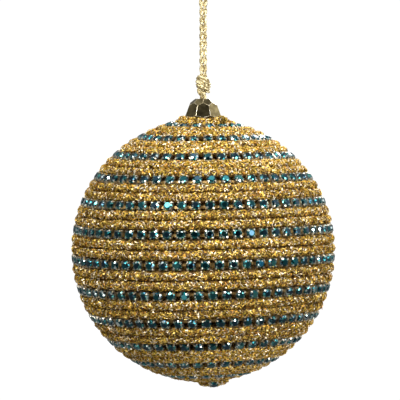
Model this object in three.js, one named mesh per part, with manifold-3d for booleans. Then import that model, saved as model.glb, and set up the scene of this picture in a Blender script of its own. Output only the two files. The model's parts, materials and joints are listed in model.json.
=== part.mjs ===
// Hanging ball ornament. A foam ball is wound from top to bottom with three strands laid side by side:
// two fuzzy gold cords and one chain of rhinestones in metal cups. A faceted metal bead sits on top,
// threaded on the hanging cord, which has a knot above the bead and ends in a loop for a hook. At the
// bottom the gold cord ends in a small coil, with the chain's last stone set in its front shoulder.
//
// Millimetres, +Z up, the front faces -Y. The origin is the point where a hook carries the loop.
import * as THREE from 'three';
import { mergeVertices } from 'three/addons/utils/BufferGeometryUtils.js';
import Module from 'manifold-3d';

const wasm = await Module();
wasm.setup();

// Driving dimensions. Heights are above the ball's centre, unless they say otherwise.
const HANG_HEIGHT = 105.5; // hook's contact point above the ball's centre
const BALL_RADIUS = 49.8; // outside of the gold cords
const WRAP_BASE = 45.9; // underside of the wound strands
const CORE_RADIUS = 45.2;
const GAP = 0.3; // between pieces that touch

// The winding: its polar angle starts at FIRST_TURN on the front of turn 0 and grows by TURN_PITCH
// every turn. A hand-wound ball isn't even, so three slow waves are added over WAVE_TURNS turns, and
// the winding's axis leans towards -X, a little more with every turn.
const STEPS_PER_TURN = 24;
const LANES = 3; // strands side by side: chain, gold cord, gold cord
const FIRST_TURN = 16.01; // degrees
const TURN_PITCH = 13.18;
const WAVE_TURNS = 12;
const WAVES = { sine: 0.335, cosine: 0.864, doubleSine: 0.291 }; // degrees
const LEAN_START = 2.28; // degrees, at turn 0
const LEAN_GROWTH = 2.33; // degrees, gained by turn WAVE_TURNS

// Each strand's first and last step. The starts clear the bead, and the ends clear the bottom coil.
const CHAIN = { lane: 0, from: -12, to: 281 };
const UPPER_CORD = { lane: 1, from: -18, to: 273 };
const LOWER_CORD = { lane: 2, from: -33, to: 265 };

const BEAD = {
  sides: 8,
  bottom: 47.5,
  top: 57.7,
  // A row's facets pass through `apothem` at `height`, and lean inwards by `slope` per mm of rise.
  wall: { apothem: 7.0, height: 50.7, slope: 0.377, turn: 0 },
  crown: { apothem: 4.45, height: 56.3, slope: 1.19, turn: 0.5 },
  seat: { apothem: 6.95, height: 50.9, slope: -1.19, turn: 0.5 },
  blank: 9, // radius of the stock that the facets are cut from
  bore: 1.9,
  mouth: 2.35,
  mouthDepth: 1.6,
};
const OVERCUT = 4; // how far a cutting shape stands out of what it cuts

const CORD_DIAMETER = 1.5;
const NECK_RADIUS = 1.5; // both strands of the cord together
const KNOT_HEIGHT = 62.8; // knot's centre, where the loop folds
const KNOT_RADIUS = 2.85;
const KNOT_HALF_HEIGHT = 2.95;
const ROUNDING_STEPS = { neckFoot: 4, knot: 8, anchor: 6 };
const TAIL_SPACING = 1.8;
const TAIL_BOTTOM = 36.4;
const CORE_BORE = { radius: 3.2, bottom: 29.5 };
const ANCHOR_KNOT = { radius: 2.7, bottom: 30.2, top: 36.1 };

// One side of the hanging loop from the knot to the crown, as [x, z] below the hook's contact point.
const LOOP_SIDE = [
  [0.79, KNOT_HEIGHT + 3.4 - HANG_HEIGHT],
  [0.79, -34],
  [0.79, -28],
  [0.79, -22],
  [0.79, -16],
  [0.9, -12],
  [1.5, -8.8],
  [2.5, -5.6],
  [3.15, -2.9],
  [2.6, -0.6],
];
const LOOP_CROWN = [0, CORD_DIAMETER / 2];

const COIL_RADIUS = 5.8;
// The coil's underside, [radius, height] from its middle outwards: lowest along the coil's own ring.
const COIL_UNDERSIDE = [
  [0, -50.1],
  [1.6, -50.5],
  [3.0, -51.2],
  [4.3, -51.4],
  [5.3, -50.8],
];
const COIL_SIDE = { bottom: -49.7, top: -46.9, chamfer: 0.5 };
const STONE = { forward: 5.0, height: -51.0, lean: 35, radius: 1.5, table: 0.95, rise: 0.45, depth: 1.0 };
const CUP = { radius: 1.85, depth: 1.9, wall: 0.22, rim: 0.1, seat: 0.5, floor: 0.4 };
const CUP_CORNER = { inset: 0.3, rise: 0.4 };

const gold = () => new THREE.MeshStandardMaterial({ color: 0xb98a3a, roughness: 0.5, metalness: 0.7 });
const paleGold = () => new THREE.MeshStandardMaterial({ color: 0xe4d6a4, roughness: 0.5, metalness: 0.5 });
const bronze = () => new THREE.MeshStandardMaterial({ color: 0x8a7748, roughness: 0.2, metalness: 1 });
const silver = () => new THREE.MeshStandardMaterial({ color: 0xc9c4b4, roughness: 0.25, metalness: 1 });
const teal = () => new THREE.MeshStandardMaterial({ color: 0x0d5a6b, roughness: 0.05, metalness: 0.2 });
const foam = () => new THREE.MeshStandardMaterial({ color: 0x9a7440, roughness: 0.9, metalness: 0 });

function named(name, geometry, material) {
  geometry.computeVertexNormals();
  const mesh = new THREE.Mesh(geometry, material);
  mesh.name = name;
  return mesh;
}

// A turned solid about the Z axis. The profile is [radius, height] and runs upwards on the outside.
function turned(profile, segments) {
  const points = profile.map(([radius, height]) => new THREE.Vector2(radius, height));
  return new THREE.LatheGeometry(points, segments).rotateX(Math.PI / 2);
}

// Joined and cut shapes: a closed geometry as a solid, and the solid back as a geometry.
function toSolid(geometry) {
  const bare = geometry.clone();
  bare.deleteAttribute('normal');
  bare.deleteAttribute('uv');
  const merged = mergeVertices(bare, 1e-4);
  const triangles = [];
  for (let i = 0; i < merged.index.count; i += 3) {
    const [a, b, c] = [0, 1, 2].map((k) => merged.index.getX(i + k));
    if (a !== b && b !== c && c !== a) triangles.push(a, b, c);
  }
  const vertProperties = new Float32Array(merged.attributes.position.array);
  return new wasm.Manifold(
    new wasm.Mesh({ numProp: 3, vertProperties, triVerts: new Uint32Array(triangles) }),
  );
}

function fromSolid(solid) {
  const { vertProperties, triVerts, numProp } = solid.getMesh();
  const geometry = new THREE.BufferGeometry();
  const positions = new THREE.InterleavedBuffer(new Float32Array(vertProperties), numProp);
  geometry.setAttribute('position', new THREE.InterleavedBufferAttribute(positions, 3, 0));
  geometry.setIndex(Array.from(triVerts));
  return geometry.toNonIndexed();
}

// The wound strands ---------------------------------------------------------------------------

// Polar angle of the winding, in radians from its own top.
function polarAngle(turns) {
  const wave = (2 * Math.PI * turns) / WAVE_TURNS;
  const drift =
    WAVES.sine * Math.sin(wave) +
    WAVES.cosine * (Math.cos(wave) - 1) +
    WAVES.doubleSine * Math.sin(2 * wave);
  return THREE.MathUtils.degToRad(FIRST_TURN + TURN_PITCH * turns + drift);
}

function lean(turns) {
  return THREE.MathUtils.degToRad(LEAN_START + (LEAN_GROWTH * turns) / WAVE_TURNS);
}

// A point of a strand, from the ball's centre. `across` goes from -0.5 at the strand's upper edge to
// 0.5 at its lower edge, where the next lane begins, so strands never cross.
function windingPoint(turns, lane, across, radius) {
  const place = turns + (lane + across) / LANES;
  const azimuth = 2 * Math.PI * turns - Math.PI / 2;
  const point = new THREE.Vector3().setFromSphericalCoords(radius, polarAngle(place), 0);
  // setFromSphericalCoords has Y up, so height is y and the distance from the axis is z.
  point.set(point.z * Math.cos(azimuth), point.z * Math.sin(azimuth), point.y);
  return point.applyAxisAngle(new THREE.Vector3(0, 1, 0), -lean(place));
}

// A straight bar of the given outline, [across, radius] points, bent onto the ball step by step.
function woundStrand({ lane, from, to }, outline) {
  const shape = new THREE.Shape(outline.map(([across, radius]) => new THREE.Vector2(-across, radius)));
  const steps = to - from;
  const geometry = new THREE.ExtrudeGeometry(shape, { depth: steps, steps, bevelEnabled: false });
  const position = geometry.attributes.position;
  for (let i = 0; i < position.count; i += 1) {
    const turns = (from + position.getZ(i)) / STEPS_PER_TURN;
    const point = windingPoint(turns, lane, -position.getX(i), position.getY(i));
    position.setXYZ(i, point.x, point.y, point.z);
  }
  return geometry;
}

// A round cord pressed between its neighbours: six sides, widest half way up. Widths are half widths,
// as shares of the lane.
const CORD_FLAT = 0.24;
const CORD_WIDEST = 0.46;
const CORD_MIDDLE = (WRAP_BASE + BALL_RADIUS) / 2;
const CORD_OUTLINE = [
  [-CORD_FLAT, WRAP_BASE],
  [CORD_FLAT, WRAP_BASE],
  [CORD_WIDEST, CORD_MIDDLE],
  [CORD_FLAT, BALL_RADIUS],
  [-CORD_FLAT, BALL_RADIUS],
  [-CORD_WIDEST, CORD_MIDDLE],
];

// The chain's cups stand on the foam, and its stones stand a little proud of the gold cords.
const CHAIN_SECTION = { foot: 0.4, table: 0.34, proud: 0.4 };
const CHAIN_OUTLINE = [
  [-CHAIN_SECTION.foot, WRAP_BASE + GAP],
  [CHAIN_SECTION.foot, WRAP_BASE + GAP],
  [CHAIN_SECTION.table, BALL_RADIUS + CHAIN_SECTION.proud],
  [-CHAIN_SECTION.table, BALL_RADIUS + CHAIN_SECTION.proud],
];

// The foam core: a ball with a blind bore at the top for the hanging cord's tails.
function foamCore() {
  const rimAngle = Math.acos(CORE_BORE.radius / CORE_RADIUS);
  const arcSteps = 16;
  const arc = Array.from({ length: arcSteps + 1 }, (_, i) => {
    const angle = -Math.PI / 2 + ((rimAngle + Math.PI / 2) * i) / arcSteps;
    return [i === 0 ? 0 : CORE_RADIUS * Math.cos(angle), CORE_RADIUS * Math.sin(angle)];
  });
  return turned([...arc, [CORE_BORE.radius, CORE_BORE.bottom], [0, CORE_BORE.bottom]], 32);
}

// The bead --------------------------------------------------------------------------------------

// Cuts one row of facets: each is a big block whose inner face lies on the facet's plane.
function cutFacets(solid, { apothem, height, slope, turn }) {
  const BLOCK = 30;
  const block = new THREE.BoxGeometry(BLOCK, BLOCK, BLOCK).translate(BLOCK / 2, 0, 0);
  let result = solid;
  for (let i = 0; i < BEAD.sides; i += 1) {
    const azimuth = ((i + turn) * 2 * Math.PI) / BEAD.sides - Math.PI / 2;
    const facet = block.clone();
    facet.rotateY(-Math.atan(slope)).translate(apothem, 0, height).rotateZ(azimuth);
    result = result.subtract(toSolid(facet));
  }
  return result;
}

function facetedBead() {
  const height = BEAD.top - BEAD.bottom;
  const blank = new THREE.CylinderGeometry(BEAD.blank, BEAD.blank, height, 32)
    .rotateX(Math.PI / 2)
    .translate(0, 0, BEAD.bottom + height / 2);
  const bore = turned(
    [
      [0, BEAD.bottom - OVERCUT],
      [BEAD.bore, BEAD.bottom - OVERCUT],
      [BEAD.bore, BEAD.top - BEAD.mouthDepth],
      [BEAD.mouth, BEAD.top - BEAD.mouthDepth / 2],
      [BEAD.mouth, BEAD.top + OVERCUT],
      [0, BEAD.top + OVERCUT],
    ],
    24,
  );
  const faceted = [BEAD.wall, BEAD.crown, BEAD.seat].reduce(cutFacets, toSolid(blank));
  return fromSolid(faceted.subtract(toSolid(bore)));
}

// The hanging cord ------------------------------------------------------------------------------

function tube(points, radius, steps, sides) {
  const path = new THREE.CatmullRomCurve3(points);
  const circle = new THREE.Path().absarc(0, 0, radius, 0, 2 * Math.PI);
  const section = new THREE.Shape(circle.getPoints(sides / 2));
  return new THREE.ExtrudeGeometry(section, { steps, extrudePath: path, bevelEnabled: false });
}

function hangingLoop() {
  const right = LOOP_SIDE.map(([x, z]) => new THREE.Vector3(x, 0, z));
  const left = LOOP_SIDE.map(([x, z]) => new THREE.Vector3(-x, 0, z)).reverse();
  const crown = new THREE.Vector3(LOOP_CROWN[0], 0, LOOP_CROWN[1]);
  return tube([...right, crown, ...left], CORD_DIAMETER / 2, 60, 8);
}

// The knot with its neck. The neck ends in a half ball centred on the bead's mouth, where it bends.
function hangerKnot() {
  const { neckFoot: footSteps, knot: knotSteps } = ROUNDING_STEPS;
  const neckFoot = [];
  for (let i = 0; i <= footSteps; i += 1) {
    const angle = ((i / footSteps - 1) * Math.PI) / 2;
    neckFoot.push([i === 0 ? 0 : NECK_RADIUS * Math.cos(angle), BEAD.top + NECK_RADIUS * Math.sin(angle)]);
  }
  const bulge = [];
  const neckJoin = Math.acos(NECK_RADIUS / KNOT_RADIUS);
  for (let i = 0; i <= knotSteps; i += 1) {
    const angle = -neckJoin + ((neckJoin + Math.PI / 2) * i) / knotSteps;
    const radius = i === knotSteps ? 0 : KNOT_RADIUS * Math.cos(angle);
    bulge.push([radius, KNOT_HEIGHT + KNOT_HALF_HEIGHT * Math.sin(angle)]);
  }
  return turned([...neckFoot, ...bulge], 16);
}

function cordTail(side) {
  const x = (side * TAIL_SPACING) / 2;
  const top = BEAD.top - NECK_RADIUS - GAP;
  const length = top - TAIL_BOTTOM;
  return new THREE.CylinderGeometry(CORD_DIAMETER / 2, CORD_DIAMETER / 2, length, 8)
    .rotateX(Math.PI / 2)
    .translate(x, 0, TAIL_BOTTOM + length / 2);
}

function anchorKnot() {
  const { radius, bottom, top } = ANCHOR_KNOT;
  const middle = (top + bottom) / 2;
  const half = (top - bottom) / 2;
  const steps = ROUNDING_STEPS.anchor;
  const profile = [];
  for (let i = 0; i <= steps; i += 1) {
    const angle = -Math.PI / 2 + (Math.PI * i) / steps;
    profile.push([i % steps === 0 ? 0 : radius * Math.cos(angle), middle + half * Math.sin(angle)]);
  }
  return turned(profile, 12);
}

// The bottom coil and its stone -----------------------------------------------------------------

// Places a shape made about the Z axis, face up at z = 0, at the stone's place in the coil.
function atStone(geometry) {
  const facing = Math.PI - THREE.MathUtils.degToRad(STONE.lean);
  return geometry.rotateX(facing).translate(0, -STONE.forward, STONE.height);
}

function bottomCoil() {
  const bun = turned(
    [
      ...COIL_UNDERSIDE,
      [COIL_RADIUS, COIL_SIDE.bottom],
      [COIL_RADIUS, COIL_SIDE.top],
      [COIL_RADIUS - COIL_SIDE.chamfer, -WRAP_BASE],
      [0, -WRAP_BASE],
    ],
    24,
  );
  const pocketDepth = CUP.depth + GAP;
  const pocketRadius = CUP.radius + GAP;
  const pocket = new THREE.CylinderGeometry(pocketRadius, pocketRadius, OVERCUT + pocketDepth, 16)
    .rotateX(Math.PI / 2)
    .translate(0, 0, (OVERCUT - pocketDepth) / 2);
  return fromSolid(toSolid(bun).subtract(toSolid(atStone(pocket))));
}

function stoneCup() {
  const inner = CUP.radius - CUP.wall;
  return atStone(
    turned(
      [
        [0, -CUP.depth],
        [CUP.radius - CUP_CORNER.inset, -CUP.depth],
        [CUP.radius, -CUP.depth + CUP_CORNER.rise],
        [CUP.radius, CUP.rim],
        [inner, CUP.rim],
        [inner, -CUP.seat],
        [CUP.floor, -CUP.depth + CUP.wall],
        [0, -CUP.depth + CUP.wall],
      ],
      16,
    ),
  );
}

// A cut stone: flat table, sloping crown and a pointed back, eight sided.
function cutStone() {
  const { radius, table, rise, depth } = STONE;
  return atStone(
    turned(
      [
        [0, -depth],
        [radius, 0],
        [table, rise],
        [0, rise],
      ],
      8,
    ),
  );
}

// Assembly --------------------------------------------------------------------------------------

const ornament = new THREE.Group();
ornament.add(named('hanging_loop', hangingLoop(), paleGold()));

const ball = new THREE.Group();
ball.position.z = -HANG_HEIGHT;
ball.add(named('hanger_knot', hangerKnot(), paleGold()));
ball.add(named('faceted_bead', facetedBead(), bronze()));
ball.add(named('cord_tail_left', cordTail(-1), paleGold()));
ball.add(named('cord_tail_right', cordTail(1), paleGold()));
ball.add(named('anchor_knot', anchorKnot(), paleGold()));
ball.add(named('foam_core', foamCore(), foam()));
ball.add(named('gold_cord_upper', woundStrand(UPPER_CORD, CORD_OUTLINE), gold()));
ball.add(named('gold_cord_lower', woundStrand(LOWER_CORD, CORD_OUTLINE), gold()));
ball.add(named('rhinestone_chain', woundStrand(CHAIN, CHAIN_OUTLINE), teal()));
ornament.add(ball);

// The coil closes the winding at its own lower pole, so it leans with the last turn.
const foot = new THREE.Group();
foot.rotation.y = -lean(CHAIN.to / STEPS_PER_TURN);
foot.add(named('bottom_coil', bottomCoil(), gold()));
foot.add(named('end_stone_cup', stoneCup(), silver()));
foot.add(named('end_stone', cutStone(), teal()));
ball.add(foot);

export default ornament;
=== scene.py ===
"""The looks of a hanging ball ornament, wound with fuzzy gold cord and a chain of teal rhinestones.

The ball's parts are worked out in millimetres from the ball's centre and put in place, in metres,
by placed(). The winding is the CAD model's: lanes 1 and 2 are the gold cords, and lane 0 is the chain.
"""

import json
import math

import bmesh
import bpy
import numpy as np
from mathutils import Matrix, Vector


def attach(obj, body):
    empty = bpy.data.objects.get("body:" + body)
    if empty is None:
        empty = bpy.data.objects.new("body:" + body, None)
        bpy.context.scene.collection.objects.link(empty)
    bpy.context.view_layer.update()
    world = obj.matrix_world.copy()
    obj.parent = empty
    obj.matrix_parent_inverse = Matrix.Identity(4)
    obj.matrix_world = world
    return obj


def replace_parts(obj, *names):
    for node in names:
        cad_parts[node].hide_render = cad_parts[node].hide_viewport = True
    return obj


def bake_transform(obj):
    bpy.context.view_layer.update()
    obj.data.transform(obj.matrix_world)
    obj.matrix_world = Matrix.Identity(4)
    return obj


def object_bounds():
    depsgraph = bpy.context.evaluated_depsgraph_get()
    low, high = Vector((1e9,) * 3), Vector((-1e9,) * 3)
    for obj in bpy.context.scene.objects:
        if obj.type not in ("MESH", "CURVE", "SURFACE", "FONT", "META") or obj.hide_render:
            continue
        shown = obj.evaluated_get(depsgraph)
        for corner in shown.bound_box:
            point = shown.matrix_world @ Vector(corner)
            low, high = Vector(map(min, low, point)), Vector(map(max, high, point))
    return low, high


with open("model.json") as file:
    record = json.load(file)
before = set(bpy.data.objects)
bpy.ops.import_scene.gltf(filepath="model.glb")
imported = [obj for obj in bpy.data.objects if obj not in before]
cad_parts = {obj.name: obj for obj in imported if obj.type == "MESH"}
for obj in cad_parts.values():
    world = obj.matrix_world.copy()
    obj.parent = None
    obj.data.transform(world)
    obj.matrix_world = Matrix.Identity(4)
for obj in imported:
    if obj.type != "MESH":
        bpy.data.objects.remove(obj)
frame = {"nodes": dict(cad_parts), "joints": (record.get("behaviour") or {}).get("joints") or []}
cad_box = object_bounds()

MM = 0.001
JOINTS = {joint["name"]: np.array(joint["pos_m"]) for joint in frame["joints"]}
BALL_CENTRE = JOINTS["ball_turn"]
BEAD_MOUTH = JOINTS["neck_bend"]
KNOT_CENTRE = JOINTS["loop_fold"]

# The winding, as in the CAD model: degrees, turns and millimetres.
STEPS_PER_TURN = 24
LANES = 3
FIRST_TURN = 16.01
TURN_PITCH = 13.18
WAVE_TURNS = 12
WAVE_SINE, WAVE_COSINE, WAVE_DOUBLE_SINE = 0.335, 0.864, 0.291
LEAN_START, LEAN_GROWTH = 2.28, 2.33
CHAIN_STEPS = (-12, 281)
UPPER_STEPS = (-24, 274)
LOWER_STEPS = (-33, 266)
TUCKED_STEPS = 8  # how far the cords run on under the bottom coil
DIVE_STEP = -18  # before this step the upper cord lies under the turns that come after it
DIVE_TURNS = 0.3  # how far back along the cord it goes on getting deeper
DIVE_SLOPE = 8.0  # millimetres a turn

CORD_MIDDLE = 47.9  # radius at which a gold cord's middle runs
CORD_HALF = 1.9
CORD_FILL = 0.49  # half a cord's width, as a share of its lane
BALL_RADIUS = 49.8
CROWN_SWELL = 1.2  # the first turns lie on the cord's start, so they stand this far out at the top
CROWN_SPREAD = 11.5  # degrees

# One seed for each thing that is scattered.
SEEDS = {"upper": 21, "lower": 22, "end": 23, "collar": 31, "chain": 5, "coil": 11, "end_stone": 8}


# Small helpers -----------------------------------------------------------------------------------


def unit(vectors):
    return vectors / np.linalg.norm(vectors, axis=-1, keepdims=True)


def placed(points_mm):
    """Points in millimetres from the ball's centre, in the frame's metres."""
    return np.asarray(points_mm, float) * MM + BALL_CENTRE


def mesh_object(name, vertices, faces, materials, face_materials=None, smooth=False):
    mesh = bpy.data.meshes.new(name)
    mesh.from_pydata(np.asarray(vertices).tolist(), [], [list(map(int, face)) for face in faces])
    for material in materials:
        mesh.materials.append(material)
    if face_materials is not None:
        mesh.polygons.foreach_set("material_index", np.asarray(face_materials, np.int32))
    mesh.polygons.foreach_set("use_smooth", np.full(len(mesh.polygons), smooth))
    mesh.update()
    piece = bpy.data.objects.new(name, mesh)
    bpy.context.scene.collection.objects.link(piece)
    return piece


def copies(vertices, faces, origins, axes):
    """The template once at each origin. axes holds the rows along, across and out of each place."""
    count = len(origins)
    moved = np.einsum("vk,nkj->nvj", vertices, axes) + origins[:, None, :]
    offsets = np.arange(count) * len(vertices)
    all_faces = [[i + offset for i in face] for offset in offsets for face in faces]
    return moved.reshape(-1, 3), all_faces


def joined(parts):
    """One list of vertices, of faces and of face materials out of several."""
    vertices, faces, materials, start = [], [], [], 0
    for part_vertices, part_faces, part_materials in parts:
        vertices.append(part_vertices)
        faces.extend([i + start for i in face] for face in part_faces)
        materials.extend(part_materials)
        start += len(part_vertices)
    return np.concatenate(vertices), faces, materials


def tube_faces(rings, around):
    """The faces of a closed tube whose rings have so many corners each."""
    faces = []
    for ring in range(rings - 1):
        low, high = ring * around, (ring + 1) * around
        for k in range(around):
            after = (k + 1) % around
            faces.append([low + k, low + after, high + after, high + k])
    faces.append(list(range(around))[::-1])
    faces.append([(rings - 1) * around + k for k in range(around)])
    return faces


# Materials ---------------------------------------------------------------------------------------


def new_material(name, colour, roughness, metallic=0.0, **inputs):
    material = bpy.data.materials.new(name)
    material.use_nodes = True
    shader = material.node_tree.nodes["Principled BSDF"]
    shader.inputs["Base Color"].default_value = (*colour, 1)
    shader.inputs["Roughness"].default_value = roughness
    shader.inputs["Metallic"].default_value = metallic
    for socket, value in inputs.items():
        shader.inputs[socket.replace("_", " ")].default_value = value
    return material


def noise(material, scale, detail=3.0):
    nodes, links = material.node_tree.nodes, material.node_tree.links
    place = nodes.new("ShaderNodeTexCoord")
    texture = nodes.new("ShaderNodeTexNoise")
    texture.inputs["Scale"].default_value = scale
    texture.inputs["Detail"].default_value = detail
    links.new(place.outputs["Object"], texture.inputs["Vector"])
    return texture


def mottle(material, scale, stops):
    """Drives the base colour by noise, from (position, colour) stops."""
    nodes, links = material.node_tree.nodes, material.node_tree.links
    ramp = nodes.new("ShaderNodeValToRGB")
    elements = ramp.color_ramp.elements
    while len(elements) < len(stops):
        elements.new(0.5)
    for element, (position, colour) in zip(elements, stops):
        element.position = position
        element.color = (*colour, 1)
    links.new(noise(material, scale).outputs["Fac"], ramp.inputs["Fac"])
    links.new(ramp.outputs["Color"], nodes["Principled BSDF"].inputs["Base Color"])


def bumps(material, scale, strength, distance_mm):
    nodes, links = material.node_tree.nodes, material.node_tree.links
    bump = nodes.new("ShaderNodeBump")
    bump.inputs["Strength"].default_value = strength
    bump.inputs["Distance"].default_value = distance_mm * MM
    links.new(noise(material, scale).outputs["Fac"], bump.inputs["Height"])
    links.new(bump.outputs["Normal"], nodes["Principled BSDF"].inputs["Normal"])


def roughness_noise(material, scale, low, high):
    nodes, links = material.node_tree.nodes, material.node_tree.links
    span = nodes.new("ShaderNodeMapRange")
    span.inputs["To Min"].default_value = low
    span.inputs["To Max"].default_value = high
    links.new(noise(material, scale).outputs["Fac"], span.inputs["Value"])
    links.new(span.outputs["Result"], nodes["Principled BSDF"].inputs["Roughness"])


def yarn_material():
    # Painted shade: the core is dark brown so that it shows as shade in the grooves between cords and
    # between the tinsel.
    material = new_material("gold_yarn_core_painted_shade", (0.22, 0.12, 0.03), 0.6, 0.35)
    mottle(
        material,
        1400,
        [(0.35, (0.040, 0.020, 0.004)), (0.52, (0.15, 0.08, 0.015)), (0.7, (0.38, 0.22, 0.05))],
    )
    bumps(material, 1800, 0.7, 0.15)
    return material


def tinsel_materials():
    """The tinsel's film in its several golds, from a cream that makes the glints pale as painted highlight
    to a near-black brown that is painted shade.
    """
    golds = [
        ("tinsel_mid", (0.60, 0.385, 0.060), 0.40),
        ("tinsel_yellow", (0.84, 0.61, 0.16), 0.36),
        ("tinsel_cream", (0.98, 0.88, 0.68), 0.34),
        ("tinsel_copper", (0.56, 0.27, 0.050), 0.38),
        ("tinsel_olive", (0.30, 0.22, 0.030), 0.42),
        ("tinsel_brown", (0.075, 0.040, 0.006), 0.45),
    ]
    edge, metallic = (1.0, 0.68, 0.26, 1), 0.80
    return [
        new_material(name, colour, roughness, metallic, Specular_Tint=edge)
        for name, colour, roughness in golds
    ]


# How much of the flakes and of the curls each gold has. The flakes, which lie under the curls, take more
# of the dark golds as painted shade, and the standing curls more of the cream as painted highlight.
LYING_SHARES = [0.33, 0.16, 0.11, 0.12, 0.14, 0.14]
STANDING_SHARES = [0.22, 0.23, 0.28, 0.09, 0.09, 0.09]


def stone_materials():
    """Foil-backed teal glass as it shows: facets tinted in several teals, from deep to pale, as painted
    reflection of the light inside the stone, under a clear, polished top.
    """
    teals = [
        ("stone_deep", (0.0003, 0.029, 0.052), 0.08, 0.5),
        ("stone_teal", (0.001, 0.082, 0.098), 0.07, 0.4),
        ("stone_cyan", (0.03, 0.22, 0.21), 0.07, 1.0),
        ("stone_pale", (0.56, 0.68, 0.68), 0.06, 1.0),
    ]
    metallic, polish = 0.96, 0.02
    return [
        new_material(name, colour, roughness, metallic, Coat_Weight=coat, Coat_Roughness=polish)
        for name, colour, roughness, coat in teals
    ]


def cup_material():
    material = new_material("cup_metal", (0.70, 0.66, 0.55), 0.3, 1.0)
    mottle(
        material,
        900,
        [(0.35, (0.42, 0.36, 0.25)), (0.55, (0.72, 0.68, 0.57)), (0.75, (0.86, 0.83, 0.76))],
    )
    roughness_noise(material, 1500, 0.2, 0.42)
    return material


def link_material():
    # Painted shade: the links are a darker brown than the cups' metal, to stand for the shade in the gaps
    # between the cups.
    material = new_material("link_metal", (0.40, 0.26, 0.09), 0.45, 0.6)
    mottle(material, 1100, [(0.35, (0.22, 0.13, 0.035)), (0.7, (0.60, 0.41, 0.16))])
    return material


def bead_material():
    material = new_material("antique_gold", (0.34, 0.28, 0.15), 0.16, 1.0)
    mottle(
        material,
        500,
        [(0.3, (0.16, 0.125, 0.06)), (0.55, (0.29, 0.235, 0.115)), (0.8, (0.44, 0.36, 0.185))],
    )
    roughness_noise(material, 900, 0.05, 0.15)
    bumps(material, 700, 0.07, 0.1)
    return material


def bead_edge_material():
    # Painted highlight: the bead's rounded edges are coloured paler than its facets, as where light
    # catches them.
    material = new_material("edge_painted_highlight", (0.62, 0.54, 0.40), 0.36, 0.8)
    mottle(
        material,
        700,
        [(0.38, (0.22, 0.18, 0.10)), (0.52, (0.62, 0.54, 0.38)), (0.7, (0.90, 0.84, 0.72))],
    )
    return material


def hanging_cord_material():
    material = new_material("pale_gold_thread", (0.62, 0.52, 0.28), 0.42, 0.45)
    mottle(
        material,
        1300,
        [(0.38, (0.17, 0.11, 0.03)), (0.48, (0.62, 0.51, 0.26)), (0.66, (0.90, 0.82, 0.55))],
    )
    bumps(material, 2600, 0.6, 0.10)
    return material


def foam_material():
    material = new_material("brown_foam", (0.48, 0.28, 0.08), 0.9)
    mottle(material, 800, [(0.3, (0.34, 0.18, 0.04)), (0.7, (0.62, 0.39, 0.13))])
    bumps(material, 900, 0.4, 0.2)
    return material


YARN = yarn_material()
TINSEL = tinsel_materials()
STONE = stone_materials()
CUP = cup_material()
LINK = link_material()
BEAD = bead_material()
BEAD_EDGE = bead_edge_material()
THREAD = hanging_cord_material()
FOAM = foam_material()


# The camera: in front of the ball, a little above it, and aimed a little above its middle ---------


CAMERA_ELEVATION = 3.15  # degrees
CAMERA_DISTANCE = 1.1
CAMERA_AIM = (-0.00122, 0.01912)  # how far to the right of the ball's centre, and how far above it
SENSOR_WIDTH = 36.0
PICTURE_WIDTH, FOCAL_LENGTH = 400, 2885.6  # pixels


def add_camera():
    elevation = math.radians(CAMERA_ELEVATION)
    data = bpy.data.cameras.new("camera")
    data.sensor_width = SENSOR_WIDTH
    data.lens = SENSOR_WIDTH / (PICTURE_WIDTH / FOCAL_LENGTH)
    camera = bpy.data.objects.new("camera", data)
    bpy.context.scene.collection.objects.link(camera)
    centre = Vector(BALL_CENTRE)
    back = Vector((0, -math.cos(elevation), math.sin(elevation)))
    up = Vector((0, math.sin(elevation), math.cos(elevation)))
    camera.location = centre + back * CAMERA_DISTANCE
    aim = centre + up * CAMERA_AIM[1] + Vector((CAMERA_AIM[0], 0, 0))
    camera.rotation_mode = "QUATERNION"
    camera.rotation_quaternion = (aim - camera.location).to_track_quat("-Z", "Y")
    bpy.context.scene.camera = camera


# Cords: tubes of twisted plies along a route ------------------------------------------------------


# Each ply's distance from the cord's middle and its radius, as shares of the cord's radius.
PLY_OFFSET, PLY_RADIUS = 0.46, 0.58
PLY_SIDES = 12
PLY_THREADS, THREAD_DEPTH = 4, 0.12
THREAD_LAY = 0.45  # a thread's lay, as a share of the cord's
CORD_SIDES = 12  # corners round a cord that has no plies


def smooth_route(points, per_span=12):
    """A Catmull-Rom line through given points."""
    points = np.asarray(points, float)
    padded = np.vstack([2 * points[0] - points[1], points, 2 * points[-1] - points[-2]])
    t = np.linspace(0, 1, per_span, endpoint=False)[:, None]
    spans = []
    for a, b, c, d in zip(padded, padded[1:], padded[2:], padded[3:]):
        curve = 2 * b + (c - a) * t + (2 * a - 5 * b + 4 * c - d) * t**2
        spans.append((curve + (3 * b - a - 3 * c + d) * t**3) / 2)
    return np.vstack([*spans, points[-1:]])


def even_route(line, step):
    """The line again, with its points one step apart."""
    along = np.concatenate([[0], np.cumsum(np.linalg.norm(np.diff(line, axis=0), axis=1))])
    at = np.linspace(0, along[-1], max(2, round(along[-1] / step) + 1))
    return np.stack([np.interp(at, along, line[:, k]) for k in range(3)], axis=1), at


def carried_frames(line):
    """Two directions square to the line at each point, carried along it without twist."""
    tangents = unit(np.gradient(line, axis=0))
    first = np.cross(tangents[0], [0.0, 1.0, 0.0])
    if np.linalg.norm(first) < 0.1:
        first = np.cross(tangents[0], [1.0, 0.0, 0.0])
    sides = [unit(first)]
    for tangent in tangents[1:]:
        side = sides[-1] - tangent * (sides[-1] @ tangent)
        sides.append(unit(side))
    sides = np.array(sides)
    return sides, np.cross(tangents, sides)


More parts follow.
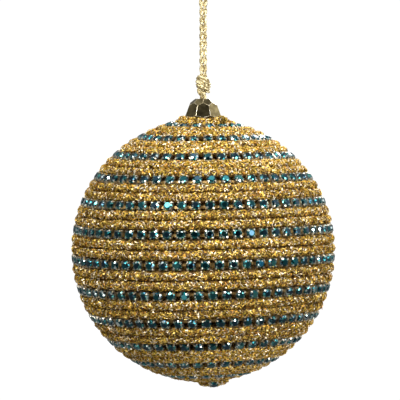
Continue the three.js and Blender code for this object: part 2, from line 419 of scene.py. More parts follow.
def tube_mesh(centres, sides, ups, radii, around, twist=None, ribs=0, rib_depth=0.0):
    """A closed tube of rings about centres. ribs raises that many threads, which turn by twist."""
    count = len(centres)
    angles = np.linspace(0, 2 * np.pi, around, endpoint=False)[None, :]
    turned = angles + (0 if twist is None else twist[:, None])
    radius = np.broadcast_to(np.asarray(radii, float).reshape(-1, 1), (count, around))
    if ribs:
        radius = radius * (1 + rib_depth * np.cos(ribs * angles))
    offset = sides[:, None] * (np.cos(turned) * radius)[..., None]
    offset = offset + ups[:, None] * (np.sin(turned) * radius)[..., None]
    vertices = (centres[:, None] + offset).reshape(-1, 3)
    return vertices, tube_faces(count, around)


def twisted_cord(route, radius, lay, step=0.22, plies=2):
    """Plies twisted round the route, each with its own fine threads. Millimetres."""
    line, along = even_route(route, step)
    sides, ups = carried_frames(line)
    parts = []
    for ply in range(plies):
        angle = 2 * np.pi * (along / lay + ply / plies)
        offset = sides * np.cos(angle)[:, None] + ups * np.sin(angle)[:, None]
        centres = line + offset * radius * PLY_OFFSET
        ply_sides, ply_ups = carried_frames(centres)
        twist = -2 * np.pi * along / (lay * THREAD_LAY)
        vertices, faces = tube_mesh(
            centres,
            ply_sides,
            ply_ups,
            radius * PLY_RADIUS,
            PLY_SIDES,
            twist,
            ribs=PLY_THREADS,
            rib_depth=THREAD_DEPTH,
        )
        parts.append((vertices, faces, [0] * len(faces)))
    return parts, line


# The hanging loop: one cord from the knot up over the hook and back. LOOP_SIDE is the CAD route's right
# side, as (x, z) in millimetres from the hook's contact point. LOOP_FOOT goes on from it into the knot,
# with z from the knot's middle.
CORD_DIAMETER = 1.5
LOOP_SWELL = 0.03  # how far the plies stand out past the cord's radius
LOOP_LAY = 6.2
LOOP_NARROWING = 0.84  # the drawn loop's width over the CAD route's
LOOP_FOOT = [(0.45, 0.2), (0.62, 1.6), (0.76, 3.4)]
LOOP_SIDE = [
    (0.79, -34),
    (0.79, -28),
    (0.79, -22),
    (0.79, -16),
    (0.9, -12),
    (1.5, -8.8),
    (2.5, -5.6),
    (3.15, -2.9),
    (2.6, -0.6),
]


def hanging_loop():
    knot_z = KNOT_CENTRE[2] / MM
    side = [(x, knot_z + z) for x, z in LOOP_FOOT] + LOOP_SIDE
    crown = [(0, CORD_DIAMETER / 2)]
    outline = side + crown + [(-x, z) for x, z in reversed(side)]
    route = smooth_route([(x * LOOP_NARROWING, 0, z) for x, z in outline])
    parts, line = twisted_cord(route, CORD_DIAMETER / 2 + LOOP_SWELL, lay=LOOP_LAY)
    vertices, faces, indices = joined(parts)
    loop = mesh_object("hanging_cord_loop", vertices * MM, faces, [THREAD], indices, smooth=True)
    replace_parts(loop, "hanging_loop")
    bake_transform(loop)


# The knot's route, as (degrees round it from the front, radius, height, stacked). Radius and height are in
# millimetres from its middle. stacked is 1 where the two cords lie one above the other, and 0 where they
# lie side by side.
KNOT_ROUTE = [
    (0, 0.0, 3.2, 0),
    (180, 0.3, 2.0, 0),
    (180, 0.5, 0.4, 0),
    (110, 0.9, -1.5, 0.4),
    (80, 1.9, -1.6, 1),
    (110, 2.2, -1.15, 1),
    (155, 2.1, -0.8, 1),
    (205, 2.0, 0.0, 1),
    (250, 2.1, 0.7, 1),
    (290, 2.2, 1.0, 1),
    (330, 2.05, 0.7, 1),
    (360, 2.0, 0.1, 1),
    (390, 2.05, -0.4, 1),
    (430, 2.2, -0.4, 1),
    (480, 2.7, 0.4, 1),
    (530, 2.7, 1.3, 1),
    (580, 2.4, 2.1, 1),
    (620, 1.9, 2.7, 1),
    (665, 1.5, 2.8, 1),
    (710, 1.6, 2.6, 1),
    (755, 1.9, 2.1, 1),
    (790, 1.8, 1.3, 0.6),
    (800, 0.9, 0.5, 0.2),
    (285, 0.8, -0.7, 0.1),
    (290, 1.3, -1.8, 0),
    (300, 0.8, -2.6, 0),
    (0, 0.1, -3.2, 0),
]
KNOT_SHIFT = (-0.15, -0.3)  # right and up
KNOT_CORD_RADIUS, KNOT_LAY, KNOT_STEP = 0.68, 8.0, 0.18
KNOT_HALF_GAP = 0.6  # half the distance between the two cords' middles

# The neck's two strands, as (x, y, which height it is measured from, z below it) for the right one.
NECK_ROUTE = [
    (0.50, 0, "knot", 1.6),
    (0.52, -0.12, "knot", 3.4),
    (0.56, -0.10, "mouth", 0.0),
    (0.60, 0, "mouth", 3.5),
]
NECK_CORD_RADIUS, NECK_LAY = 0.66, 6.0


def knot_route(strand):
    """One of the two cords that are knotted together. strand is -1 or 1."""
    points = []
    for degrees, radius, height, stacked in KNOT_ROUTE:
        angle = math.radians(degrees)
        apart = KNOT_HALF_GAP * strand
        points.append(
            (
                radius * math.sin(angle) + apart * (1 - stacked) + KNOT_SHIFT[0],
                -radius * math.cos(angle),
                height + apart * stacked + KNOT_SHIFT[1],
            )
        )
    return smooth_route(points)


def knot():
    parts = []
    for strand in (-1, 1):
        cords, _ = twisted_cord(knot_route(strand), KNOT_CORD_RADIUS, KNOT_LAY, KNOT_STEP)
        parts.extend(cords)
    vertices, faces, indices = joined(parts)
    piece = mesh_object(
        "overhand_knot", vertices * MM + KNOT_CENTRE, faces, [THREAD], indices, smooth=True
    )
    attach(piece, "knot")
    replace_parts(piece, "hanger_knot")


def neck():
    """The two strands between the knot and the bead, and down into its bore."""
    heights = {"knot": KNOT_CENTRE[2] / MM, "mouth": BEAD_MOUTH[2] / MM}
    parts = []
    for strand in (-1, 1):
        points = [(x * strand, y * strand, heights[level] - z) for x, y, level, z in NECK_ROUTE]
        cords, _ = twisted_cord(smooth_route(points), NECK_CORD_RADIUS, NECK_LAY)
        parts.extend(cords)
    vertices, faces, indices = joined(parts)
    piece = mesh_object("neck_strands", vertices * MM, faces, [THREAD], indices, smooth=True)
    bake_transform(piece)


# The bead ----------------------------------------------------------------------------------------


SAME_POINT = 1e-6  # metres
SAME_FACET = 2  # degrees between faces that belong to one facet
FACET_EDGE = 18  # degrees between facets, from which their edge is rounded and coloured pale as a painted highlight
EDGE_WIDTH = 0.24


def faceted_bead():
    """The CAD bead again, with its facets whole and its edges rounded and coloured pale as a painted
    highlight.
    """
    mesh = frame["nodes"]["faceted_bead"].data.copy()
    mesh.name = "antique_bead"
    work = bmesh.new()
    work.from_mesh(mesh)
    bmesh.ops.remove_doubles(work, verts=work.verts, dist=SAME_POINT)
    bmesh.ops.dissolve_limit(
        work, angle_limit=math.radians(SAME_FACET), verts=work.verts, edges=work.edges
    )
    sharp = [edge for edge in work.edges if edge.calc_face_angle(0) > math.radians(FACET_EDGE)]
    bmesh.ops.bevel(
        work,
        geom=sharp,
        offset=EDGE_WIDTH * MM,
        offset_type="WIDTH",
        segments=2,
        profile=0.6,
        affect="EDGES",
        clamp_overlap=True,
        material=1,
    )
    work.to_mesh(mesh)
    work.free()
    highlit_edges = np.array([polygon.material_index for polygon in mesh.polygons], np.int32)
    mesh.materials.clear()
    mesh.materials.append(BEAD)
    mesh.materials.append(BEAD_EDGE)
    mesh.polygons.foreach_set("material_index", highlit_edges)
    mesh.polygons.foreach_set("use_smooth", np.zeros(len(mesh.polygons), bool))
    bead = bpy.data.objects.new("antique_bead", mesh)
    bpy.context.scene.collection.objects.link(bead)
    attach(bead, "bead")
    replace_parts(bead, "faceted_bead")


# The winding -------------------------------------------------------------------------------------


def polar_angle(turns):
    wave = 2 * np.pi * turns / WAVE_TURNS
    drift = WAVE_SINE * np.sin(wave) + WAVE_COSINE * (np.cos(wave) - 1)
    drift = drift + WAVE_DOUBLE_SINE * np.sin(2 * wave)
    return np.radians(FIRST_TURN + TURN_PITCH * turns + drift)


def lean(turns):
    return np.radians(LEAN_START + LEAN_GROWTH * turns / WAVE_TURNS)


def winding_point(turns, lane, across, radius):
    """A point of a lane, from the ball's centre. across is -0.5 to 0.5 from edge to edge."""
    place = turns + (lane + across) / LANES
    polar, azimuth, tilt = polar_angle(place), 2 * np.pi * turns - np.pi / 2, lean(place)
    radius = radius + CROWN_SWELL * np.exp(-((np.degrees(polar) / CROWN_SPREAD) ** 2))
    x = radius * np.sin(polar) * np.cos(azimuth)
    y = radius * np.sin(polar) * np.sin(azimuth)
    z = radius * np.cos(polar)
    x, z = x * np.cos(tilt) - z * np.sin(tilt), x * np.sin(tilt) + z * np.cos(tilt)
    return np.stack([x, y, z], axis=-1)


def cord_point(turns, lane, angle, swell=1.0):
    """A point of a gold cord's surface. angle is 0 where it faces out and grows downwards."""
    dive = np.clip(DIVE_STEP / STEPS_PER_TURN - turns, 0, DIVE_TURNS) if lane == 1 else 0.0
    radius = CORD_MIDDLE - DIVE_SLOPE * dive + CORD_HALF * swell * np.cos(angle)
    return winding_point(turns, lane, CORD_FILL * np.sin(angle), radius)


FINE_PLACES = 12000  # places along a lane that its length is measured by


def even_turns(lane, steps, spacing_mm):
    """Places along a lane, spacing_mm apart."""
    turns = np.linspace(steps[0] / STEPS_PER_TURN, steps[1] / STEPS_PER_TURN, FINE_PLACES)
    line = winding_point(turns, lane, 0.0, BALL_RADIUS)
    along = np.concatenate([[0], np.cumsum(np.linalg.norm(np.diff(line, axis=0), axis=1))])
    at = np.arange(spacing_mm / 2, along[-1], spacing_mm)
    return np.interp(at, along, turns)


YARN_RINGS = 7  # rings a step
YARN_UNEVENNESS = 0.02  # share of the radius


def yarn_core(name, lane, steps):
    """The cord itself, coloured dark brown as painted shade, which shows between the tinsel and in the
    grooves.
    """
    turns = np.arange(steps[0] * YARN_RINGS, steps[1] * YARN_RINGS + 1)
    turns = turns / (YARN_RINGS * STEPS_PER_TURN)
    angles = np.linspace(0, 2 * np.pi, CORD_SIDES, endpoint=False)
    rng = np.random.default_rng(lane)
    swell = 1 + YARN_UNEVENNESS * rng.standard_normal((len(turns), 1))
    vertices = placed(cord_point(turns[:, None], lane, angles[None, :], swell).reshape(-1, 3))
    faces = tube_faces(len(turns), CORD_SIDES)
    piece = mesh_object(name, vertices, faces, [YARN], smooth=True)
    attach(piece, "ball")
    return piece


# Tinsel: small closed flakes and curled loops of metallic film on the cords' outside ---------------

FLAKES_PER_STEP, CURLS_PER_STEP = 105, 36
# Past these angles the cord carries no tinsel, so its dark core shows in the grooves as painted shade.
FLAKE_SPREAD, CURL_SPREAD = 54, 47  # degrees to either side of a cord's outermost line

# Millimetres. Each pair is a range, and lengths and widths are halves.
FLAKE_LENGTH, FLAKE_WIDTH, FLAKE_LIFT = (0.36, 0.70), (0.16, 0.32), (0.05, 0.30)
FLAKE_FOLD = 0.12
FLAKE_TILT, FLAKE_ROLL = 0.35, 0.45  # the spread of the slopes that flakes stand at
CURL_LENGTH, CURL_ARCH, CURL_LIFT = (0.6, 1.1), (0.15, 0.50), 0.05
CURL_BEND = 0.45  # the spread of their sideways bend
CURL_RADIUS, CURL_TAPER = 0.14, 0.35  # the taper is the share of the radius gone at the ends
CURL_TWIST = 0.8  # radians from the middle to an end


def flakes(base, along, out, rng):
    """Folded diamonds, four facets each, lying on the surface at odd angles."""
    count = len(base)
    side = np.cross(out, along)
    turn = rng.uniform(0, 2 * np.pi, count)[:, None]
    direction = along * np.cos(turn) + side * np.sin(turn)
    tilt = rng.normal(0, FLAKE_TILT, count)[:, None]
    direction = unit(direction + out * tilt)
    roll = rng.normal(0, FLAKE_ROLL, count)[:, None]
    blade = unit(np.cross(out, direction))
    blade = unit(blade + out * roll)
    length = rng.uniform(*FLAKE_LENGTH, count)[:, None]
    width = rng.uniform(*FLAKE_WIDTH, count)[:, None]
    lift = rng.uniform(*FLAKE_LIFT, count)[:, None]
    middle = base + out * lift
    rise = np.cross(direction, blade) * FLAKE_FOLD
    corners = np.stack(
        [
            middle - direction * length,
            middle + direction * length,
            middle - blade * width + rise,
            middle + blade * width + rise,
        ],
        axis=1,
    )
    faces = np.array([[0, 3, 2], [1, 2, 3], [0, 1, 3], [0, 2, 1]])
    all_faces = (faces[None] + 4 * np.arange(count)[:, None, None]).reshape(-1, 3)
    tints = np.repeat(rng.choice(len(TINSEL), count, p=LYING_SHARES), 4)
    return corners.reshape(-1, 3), all_faces, tints


def curls(base, along, out, rng):
    """Loops of narrow film that leave the surface and come back to it."""
    count, segments, ring = len(base), 4, 3
    side = np.cross(out, along)
    turn = rng.uniform(0, 2 * np.pi, count)[:, None]
    direction = along * np.cos(turn) + side * np.sin(turn)
    sideways = np.cross(out, direction)
    s = np.linspace(-1, 1, segments + 1)[None, :, None]
    length = rng.uniform(*CURL_LENGTH, count)[:, None, None]
    arch = rng.uniform(*CURL_ARCH, count)[:, None, None]
    bend = rng.normal(0, CURL_BEND, count)[:, None, None]
    centre = base[:, None] + direction[:, None] * s * length
    centre = centre + out[:, None] * (arch * (1 - s**2) + CURL_LIFT)
    centre = centre + sideways[:, None] * bend * (1 - s**2)
    drop = (s * length * np.sin(turn)[:, None]) ** 2 / (2 * CORD_HALF)
    centre = centre - out[:, None] * drop
    radius = CURL_RADIUS * (1 - CURL_TAPER * s**2)
    spin = rng.uniform(0, 2 * np.pi, count)[:, None, None] + CURL_TWIST * s
    rings = []
    for k in range(ring):
        angle = spin + 2 * np.pi * k / ring
        rings.append(
            centre + radius * (np.cos(angle) * sideways[:, None] + np.sin(angle) * out[:, None])
        )
    vertices = np.stack(rings, axis=2)
    faces = []
    for j in range(segments):
        for k in range(ring):
            after = (k + 1) % ring
            faces.append([j * ring + k, j * ring + after, (j + 1) * ring + after, (j + 1) * ring + k])
    caps = [[2, 1, 0], [segments * ring, segments * ring + 1, segments * ring + 2]]
    per = (segments + 1) * ring
    offsets = per * np.arange(count)[:, None, None]
    quads = (np.array(faces)[None] + offsets).reshape(-1, 4)
    ends = (np.array(caps)[None] + offsets).reshape(-1, 3)
    tint = rng.choice(len(TINSEL), count, p=STANDING_SHARES)
    tints = np.concatenate([np.repeat(tint, len(faces)), np.repeat(tint, 2)])
    return vertices.reshape(-1, 3), [*quads.tolist(), *ends.tolist()], tints


PLACE_SPACING, PLACE_JITTER = 0.2, 3e-4  # millimetres, and turns
NEARBY = 1e-3  # turns or radians to a neighbouring point that gives a direction


def cord_places(lane, steps, count, rng, spread):
    """Random places on a gold cord's outside, with the directions along and out of it."""
    turns = even_turns(lane, steps, PLACE_SPACING)
    turns = turns[rng.integers(0, len(turns), count)] + rng.uniform(-1, 1, count) * PLACE_JITTER
    angle = rng.uniform(-spread, spread, count)
    here = cord_point(turns, lane, angle)
    along = unit(cord_point(turns + NEARBY, lane, angle) - here)
    down = unit(cord_point(turns, lane, angle + NEARBY) - here)
    return here, along, unit(np.cross(down, along))


def tinsel(name, lane, steps, seed, sections=4):
    """A gold cord's tinsel, in sections along it."""
    rng = np.random.default_rng(seed)
    ends = np.linspace(*steps, sections + 1)
    flake_spread, curl_spread = math.radians(FLAKE_SPREAD), math.radians(CURL_SPREAD)
    for number, part in enumerate(zip(ends, ends[1:])):
        length = part[1] - part[0]
        lying_count, standing_count = int(FLAKES_PER_STEP * length), int(CURLS_PER_STEP * length)
        lying = flakes(*cord_places(lane, part, lying_count, rng, flake_spread), rng)
        standing = curls(*cord_places(lane, part, standing_count, rng, curl_spread), rng)
        vertices, faces, tints = joined([lying, standing])
        piece = mesh_object(f"{name}_{number}", placed(vertices), faces, TINSEL, tints)
        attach(piece, "ball")


def gold_cord(name, lane, steps, node):
    """One of the two wound cords, which runs on under the coil at the bottom."""
    steps = (steps[0], steps[1] + TUCKED_STEPS)
    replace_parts(yarn_core(f"gold_yarn_{name}", lane, steps), node)
    tinsel(f"gold_tinsel_{name}", lane, steps, SEEDS[name])


def cord_end():
    """The cord that follows the chain's last stone into the coil."""
    steps = (CHAIN_STEPS[1] + 0.5, CHAIN_STEPS[1] + TUCKED_STEPS)
    yarn_core("gold_yarn_end", 0, steps)
    tinsel("gold_tinsel_end", 0, steps, SEEDS["end"], sections=1)


LOOSE_STEP, LOOSE_UNEVENNESS = 0.35, 0.03  # millimetres between rings, and a share of the radius
LOOSE_CURL_SHARE = 0.35  # the share of the places with a flake that have a curl too
HIDDEN_BELOW = -0.35  # cosine to the open side, below which a cord carries no tinsel


def round_cord(name, route, radius, count, seed, facing, turn=None):
    """A tinselled cord along a route of its own. facing is its open side."""
    rng = np.random.default_rng(seed)
    turn = np.eye(3) if turn is None else turn
    line, _ = even_route(route, LOOSE_STEP)
    sides, ups = carried_frames(line)
    swell = 1 + LOOSE_UNEVENNESS * rng.standard_normal(len(line))
    vertices, faces = tube_mesh(line, sides, ups, radius * swell, CORD_SIDES)
    core = mesh_object(f"{name}_yarn", placed(vertices @ turn), faces, [YARN], smooth=True)
    at = rng.integers(0, len(line), count)
    angle = rng.uniform(0, 2 * np.pi, count)[:, None]
    out = sides[at] * np.cos(angle) + ups[at] * np.sin(angle)
    keep = out @ np.array(facing, float) > HIDDEN_BELOW
    at, out = at[keep], out[keep]
    along = unit(np.gradient(line, axis=0))[at]
    base = line[at] + out * radius
    some = rng.random(len(base)) < LOOSE_CURL_SHARE
    lying = flakes(base, along, out, rng)
    standing = curls(base[some], along[some], out[some], rng)
    vertices, faces, tints = joined([lying, standing])
    fuzz = mesh_object(f"{name}_tinsel", placed(vertices @ turn), faces, TINSEL, tints)
    for piece in (core, fuzz):
        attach(piece, "ball")
    return core


# The collar's two ends, as (degrees round the bead from the front, radius, height).
COLLAR_RISE = [(-45, 13.0, 47.6), (-45, 11.8, 49.2), (-44, 10.3, 49.9), (-38, 9.0, 49.5)]
COLLAR_DIVE = [(300, 8.0, 47.9), (312, 8.0, 46.8)]
COLLAR_RING, COLLAR_HEIGHT, COLLAR_SLOPE = 8.0, 48.9, 0.7
COLLAR_CORD, COLLAR_PLACES = 1.1, 2100  # the cord's radius, and how many places carry tinsel


def collar():
    """The cord's start: up over the first turns, once round the bead's foot, and down under itself."""
    ring = []
    for angle in range(-24, 290, 15):
        height = COLLAR_HEIGHT + COLLAR_SLOPE * math.sin(math.radians(angle))
        ring.append((angle, COLLAR_RING, height))
    route = [
        (-r * math.sin(math.radians(angle)), -r * math.cos(math.radians(angle)), z)
        for angle, r, z in COLLAR_RISE + ring + COLLAR_DIVE
    ]
    line = smooth_route(route, 6)
    round_cord("collar", line, COLLAR_CORD, COLLAR_PLACES, SEEDS["collar"], facing=(0, 0, 1))


# The chain ---------------------------------------------------------------------------------------

STONE_PITCH = 5.25
GIRDLE = 49.45  # radius at which the stones' widest edge lies
STONE_RADIUS = 1.80
STONE_JITTER = 0.05  # radians

# Radius and height of the stone's corners, and the height of its point, over its own radius.
TABLE_CORNER, STAR_CORNER, CULET = (0.56, 0.40), (0.78, 0.27), -0.7

# A cup's levels, as (half width, height), and a link's underside and top, as (half length, half width,
# height). Millimetres, with heights from the stone's widest edge.
CUP_FLOOR, CUP_SHOULDER, CUP_RIM = (1.50, -2.6), (1.74, -0.75), (1.64, -0.35)
LINK_UNDERSIDE, LINK_TOP = (1.10, 0.62, -2.9), (1.05, 0.50, -2.0)

# A claw's outline from the cup's foot to its tip: distance from the stone's axis, height, half width.
CLAW = [(1.98, -1.7, 0.34), (2.20, -0.2, 0.36), (2.03, 0.36, 0.30), (1.50, 0.55, 0.20)]
CLAW_THICKNESS = 0.2

# The share of each teal on the table and on the other facets in front, as painted reflection: a mostly
# deep table for the dark it reflects, and a mixed crown for its brilliance.
FACET_TINTS = {"table": (0.62, 0.30, 0.06, 0.02), "crown": (0.26, 0.34, 0.24, 0.16)}


def stone_template():
    """A brilliant-cut stone: table, stars, kites, upper girdle facets and a pointed back."""
    eighth = np.arange(8) * np.pi / 4
    rings = [(TABLE_CORNER, eighth), (STAR_CORNER, eighth + np.pi / 8)]
    rings.append(((1.0, 0.0), np.arange(16) * np.pi / 8))
    corners = [(r * np.cos(a), r * np.sin(a), z) for (r, z), angles in rings for a in angles]
    vertices = np.array([*corners, (0, 0, CULET)]) * STONE_RADIUS
    faces, crown = [list(range(8))], [False]
    for i in range(8):
        after = (i + 1) % 8
        corner, middle = 16 + 2 * i, 17 + 2 * i
        next_corner = 16 + (2 * i + 2) % 16
        faces.append([i, 8 + i, after])
        faces.append([i, 8 + (i - 1) % 8, corner, 8 + i])
        faces.append([8 + i, corner, middle])
        faces.append([8 + i, middle, next_corner])
        faces.append([corner, 32, middle])
        faces.append([middle, 32, next_corner])
        crown += [True] * 6
    return vertices, faces, np.array(crown)


def stone_tints(crown, count, rng):
    """A tint for each facet of each stone, as painted reflection: the table mostly deep, and the crown
    mixed.
    """
    table = rng.choice(len(STONE), (count, len(crown)), p=FACET_TINTS["table"])
    mixed = rng.choice(len(STONE), (count, len(crown)), p=FACET_TINTS["crown"])
    return np.where(crown, mixed, table).ravel()


def block(corners_low, corners_high):
    """A closed block between two rings of four corners."""
    vertices = [*corners_low, *corners_high]
    faces = [[3, 2, 1, 0], [4, 5, 6, 7]]
    faces += [[k, (k + 1) % 4, 4 + (k + 1) % 4, 4 + k] for k in range(4)]
    return np.array(vertices, float), faces, [0] * 6


def rectangle(half_x, half_y, z):
    return [(-half_x, -half_y, z), (half_x, -half_y, z), (half_x, half_y, z), (-half_x, half_y, z)]


def prong(angle):
    """A claw at one corner of the cup, bent over the stone's edge."""
    outward = np.array([math.cos(angle), math.sin(angle), 0])
    sideways = np.array([-math.sin(angle), math.cos(angle), 0])
    rings = []
    for i, (distance, height, half) in enumerate(CLAW):
        centre = outward * distance + np.array([0, 0, height])
        before = np.array(CLAW[max(i - 1, 0)][:2])
        after = np.array(CLAW[min(i + 1, len(CLAW) - 1)][:2])
        run = unit(after - before)
        inner = (outward * -run[1] + np.array([0, 0, run[0]])) * CLAW_THICKNESS
        rings.append(
            [
                centre - sideways * half,
                centre + sideways * half,
                centre + sideways * half + inner,
                centre - sideways * half + inner,
            ]
        )
    vertices = np.array(rings).reshape(-1, 3)
    faces = [[3, 2, 1, 0]]
    for j in range(len(CLAW) - 1):
        for k in range(4):
            after = (k + 1) % 4
            faces.append([4 * j + k, 4 * j + after, 4 * j + 4 + after, 4 * j + 4 + k])
    last = 4 * (len(CLAW) - 1)
    faces.append([last, last + 1, last + 2, last + 3])
    return vertices, faces, [0] * len(faces)


def cup_template():
    """A square setting with four claws, drawn up round the stone."""
    floor, shoulder, top = (
        rectangle(half, half, height) for half, height in (CUP_FLOOR, CUP_SHOULDER, CUP_RIM)
    )
    base, rim = block(floor, shoulder), block(shoulder, top)
    claws = [prong(math.radians(45 + 90 * k)) for k in range(4)]
    return joined([base, rim, *claws])


def link_template():
    return block(rectangle(*LINK_UNDERSIDE), rectangle(*LINK_TOP))


def chain_axes(turns):
    """The directions along, across and out of the chain at each place."""
    here = winding_point(turns, 0, 0.0, GIRDLE)
    along = unit(winding_point(turns + NEARBY, 0, 0.0, GIRDLE) - here)
    out = unit(here)
    across = np.cross(out, along)
    return here, np.stack([along, across, out], axis=1)


def jittered(axes, rng, amount):
    """The same axes, each turned a little about a random axis."""
    small = rng.normal(0, amount, (len(axes), 3))
    return unit(axes + np.cross(small[:, None, :], axes))


def chain():
    """The chain in turns: each turn's stones are one piece, and its cups and links another."""
    rng = np.random.default_rng(SEEDS["chain"])
    stone, stone_faces, crown = stone_template()
    cup, cup_faces, _ = cup_template()
    link, link_faces, _ = link_template()
    places = even_turns(0, CHAIN_STEPS, STONE_PITCH)
    between = (places[1:] + places[:-1]) / 2
    for turn in range(int(np.floor(places[0])), int(np.floor(places[-1])) + 1):
        number = f"{turn + 2:02d}"
        here = places[(places >= turn) & (places < turn + 1)]
        origins, axes = chain_axes(here)
        axes = jittered(axes, rng, STONE_JITTER)
        vertices, faces = copies(stone, stone_faces, origins, axes)
        tints = stone_tints(crown, len(here), rng)
        stones = mesh_object(f"chain_stones_turn_{number}", placed(vertices), faces, STONE, tints)
        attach(stones, "ball")

        parts = [(*copies(cup, cup_faces, origins, axes), [0] * (len(here) * len(cup_faces)))]
        middles = between[(between >= turn) & (between < turn + 1)]
        if len(middles):
            link_origins, link_axes = chain_axes(middles)
            count = len(middles) * len(link_faces)
            parts.append((*copies(link, link_faces, link_origins, link_axes), [1] * count))
        vertices, faces, metals = joined(parts)
        name = f"chain_cups_turn_{number}"
        cups = mesh_object(name, placed(vertices), faces, [CUP, LINK], metals)
        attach(cups, "ball")
        if turn == 0:
            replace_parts(cups, "rhinestone_chain")


# The bottom coil ---------------------------------------------------------------------------------

COIL_TURNS, COIL_START = 1.75, 0.4  # the start in radians
COIL_OUTER, COIL_NARROWING = 4.05, 3.4  # millimetres
COIL_HEIGHT, COIL_BULGE = -49.55, 0.15
COIL_CORD, COIL_PLACES = 1.75, 1900
COIL_STONE = {"forward": 5.0, "height": -51.0, "lean": 35}  # the lean in degrees


def foot_axes():
    """Turns the coil's own frame to the lower end of the leaning winding."""
    tilt = lean(CHAIN_STEPS[1] / STEPS_PER_TURN)
    return np.array(
        [[math.cos(tilt), 0, math.sin(tilt)], [0, 1, 0], [-math.sin(tilt), 0, math.cos(tilt)]]
    )


def coil_route():
    """A flat coil, from its outer turn to its middle, which stands a little farther out."""
    share = np.linspace(0, 1, 60)
    angle = 2 * np.pi * COIL_TURNS * share + COIL_START
    inward = np.clip((share - 0.5) / 0.5, 0, 1)  # only its second half winds inwards
    radius = COIL_OUTER - COIL_NARROWING * inward
    height = COIL_HEIGHT - COIL_BULGE * inward
    return np.stack([radius * np.cos(angle), radius * np.sin(angle), height], 1)


def bottom_coil():
    down = (0, 0, -1)
    core = round_cord(
        "bottom_coil", coil_route(), COIL_CORD, COIL_PLACES, SEEDS["coil"], down, foot_axes()
    )
    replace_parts(core, "bottom_coil")


def end_stone():
    """The chain's last stone in its cup, pressed into the coil's front shoulder."""
    angle = math.radians(COIL_STONE["lean"])
    out = np.array([0, -math.sin(angle), -math.cos(angle)])
    along = np.array([1.0, 0, 0])
    axes = np.stack([along, np.cross(out, along), out])
    origin = np.array([0, -COIL_STONE["forward"], COIL_STONE["height"]])
    turn = foot_axes()
    stone, stone_faces, crown = stone_template()
    cup, cup_faces, _ = cup_template()
    tints = stone_tints(crown, 1, np.random.default_rng(SEEDS["end_stone"]))
    stone, cup = (placed((template @ axes + origin) @ turn) for template in (stone, cup))
    stone_piece = mesh_object("end_stone_cut", stone, stone_faces, STONE, tints)
    cup_piece = mesh_object("end_stone_setting", cup, cup_faces, [CUP])
    for piece, node, slot in (
        (stone_piece, "end_stone", "teal_glass"),
        (cup_piece, "end_stone_cup", "cup_metal"),
    ):
        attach(piece, "ball")
        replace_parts(piece, node)


# Hidden pieces keep their CAD shapes ---------------------------------------------------------------


def hidden_pieces():
    for node, material in (
        ("foam_core", FOAM),
        ("cord_tail_left", THREAD),
        ("cord_tail_right", THREAD),
        ("anchor_knot", THREAD),
    ):
        mesh = frame["nodes"][node].data
        mesh.materials.clear()
        mesh.materials.append(material)


# Stage and light ---------------------------------------------------------------------------------


def white_for_camera(tree, lit, seen, output):
    """What the picture shows directly is seen, and what lights the object is lit."""
    mix = tree.nodes.new("ShaderNodeMixShader")
    path = tree.nodes.new("ShaderNodeLightPath")
    tree.links.new(path.outputs["Is Camera Ray"], mix.inputs["Fac"])
    tree.links.new(lit, mix.inputs[1])
    tree.links.new(seen, mix.inputs[2])
    tree.links.new(mix.outputs["Shader"], output.inputs["Surface"])


FLOOR_RADIUS = 8
FLOOR_DROP = 2.6  # far enough below the ball that a camera can look up at it
FLOOR_LIT, FLOOR_SEEN = (0.42, 0.41, 0.39), (0.80, 0.80, 0.80, 1)
FLOOR_GLOW = 0.7
BACKDROP_BRIGHTNESS = 1.05


def add_floor():
    bpy.ops.mesh.primitive_circle_add(vertices=64, radius=FLOOR_RADIUS, fill_type="NGON")
    floor = bpy.context.object
    floor.name = "floor"
    floor.location = (0, 0, cad_box[0].z - FLOOR_DROP)
    material = new_material("pale_floor", FLOOR_LIT, 0.9)
    tree = material.node_tree
    lit = tree.nodes["Principled BSDF"]
    seen = tree.nodes.new("ShaderNodeBsdfPrincipled")
    seen.inputs["Base Color"].default_value = FLOOR_SEEN
    seen.inputs["Roughness"].default_value = 0.9
    seen.inputs["Emission Color"].default_value = (1, 1, 1, 1)
    seen.inputs["Emission Strength"].default_value = FLOOR_GLOW
    output = tree.nodes["Material Output"]
    white_for_camera(tree, lit.outputs["BSDF"], seen.outputs["BSDF"], output)
    floor.data.materials.append(material)


def area_light(name, place, size, power, colour=(1, 1, 1)):
    """A soft box that faces the ball. size is its width and its height."""
    data = bpy.data.lights.new(name, "AREA")
    data.shape = "RECTANGLE"
    data.size, data.size_y = size
    data.energy = power
    data.color = colour
    lamp = bpy.data.objects.new(name, data)
    bpy.context.scene.collection.objects.link(lamp)
    lamp.location = place
    aim = Vector(BALL_CENTRE) - Vector(place)
    lamp.rotation_mode = "QUATERNION"
    lamp.rotation_quaternion = aim.to_track_quat("-Z", "Y")


def math_node(tree, operation, *values):
    node = tree.nodes.new("ShaderNodeMath")
    node.operation = operation
    for socket, value in zip(node.inputs, values):
        if isinstance(value, bpy.types.NodeSocket):
            tree.links.new(value, socket)
        else:
            socket.default_value = value
    return node.outputs[0]


def lobe(tree, split, axis, span, values):
    """Goes from one value to the other as a direction's dot product with axis crosses the span."""
    dot = 0.0
    for name, part in zip("XYZ", axis):
        dot = math_node(tree, "MULTIPLY_ADD", split.outputs[name], part, dot)
    shade = tree.nodes.new("ShaderNodeMapRange")
    shade.interpolation_type = "SMOOTHSTEP"
    tree.links.new(dot, shade.inputs["Value"])
    for name, value in zip(("From Min", "From Max", "To Min", "To Max"), (*span, *values)):
        shade.inputs[name].default_value = value
    return shade.outputs["Result"]


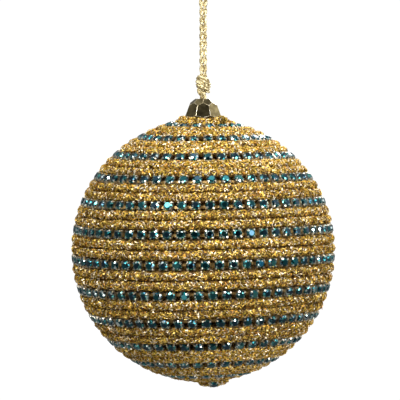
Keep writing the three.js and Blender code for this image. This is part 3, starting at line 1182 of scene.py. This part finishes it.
def add_world():
    """A white studio that is brightest overhead, and dark on the side the picture is taken from."""
    world = bpy.data.worlds.new("studio")
    bpy.context.scene.world = world
    world.use_nodes = True
    tree = world.node_tree
    tree.nodes.clear()
    place = tree.nodes.new("ShaderNodeTexCoord")
    split = tree.nodes.new("ShaderNodeSeparateXYZ")
    tree.links.new(place.outputs["Generated"], split.inputs["Vector"])
    overhead = lobe(tree, split, (-0.15, -0.45, 0.88), (0.55, 0.95), (0.26, 1.20))
    front = lobe(tree, split, (0, -0.95, 0.30), (0.78, 0.94), (1.0, 0.05))
    right = lobe(tree, split, (0.92, 0.10, 0.38), (0.80, 0.97), (0.0, 1.0))
    strength = math_node(tree, "MULTIPLY_ADD", overhead, front, right)
    light = tree.nodes.new("ShaderNodeBackground")
    tree.links.new(strength, light.inputs["Strength"])
    seen = tree.nodes.new("ShaderNodeBackground")
    seen.inputs["Strength"].default_value = BACKDROP_BRIGHTNESS
    light.inputs["Color"].default_value = seen.inputs["Color"].default_value = (1, 1, 1, 1)
    output = tree.nodes.new("ShaderNodeOutputWorld")
    white_for_camera(tree, light.outputs["Background"], seen.outputs["Background"], output)


def add_light():
    area_light("right_strip", (0.85, -0.90, 0.10), (0.42, 0.80), 14)
    area_light("upper_left", (-0.55, -0.78, 0.66), (0.40, 0.40), 12, (1.0, 0.99, 0.96))
    area_light("low_fill", (-0.40, -1.00, -0.55), (0.70, 0.40), 1.8, (1.0, 0.97, 0.92))
    area_light("top", (0.10, -0.30, 1.0), (0.60, 0.60), 2.6, (1.0, 0.98, 0.94))
    area_light("back", (0.30, 1.00, 0.50), (0.60, 0.60), 9)
    add_world()


add_camera()
hanging_loop()
knot()
neck()
faceted_bead()
gold_cord("upper", 1, UPPER_STEPS, "gold_cord_upper")
gold_cord("lower", 2, LOWER_STEPS, "gold_cord_lower")
cord_end()
collar()
chain()
bottom_coil()
end_stone()
hidden_pieces()
add_floor()
add_light()
bpy.context.scene.view_settings.view_transform = "Standard"
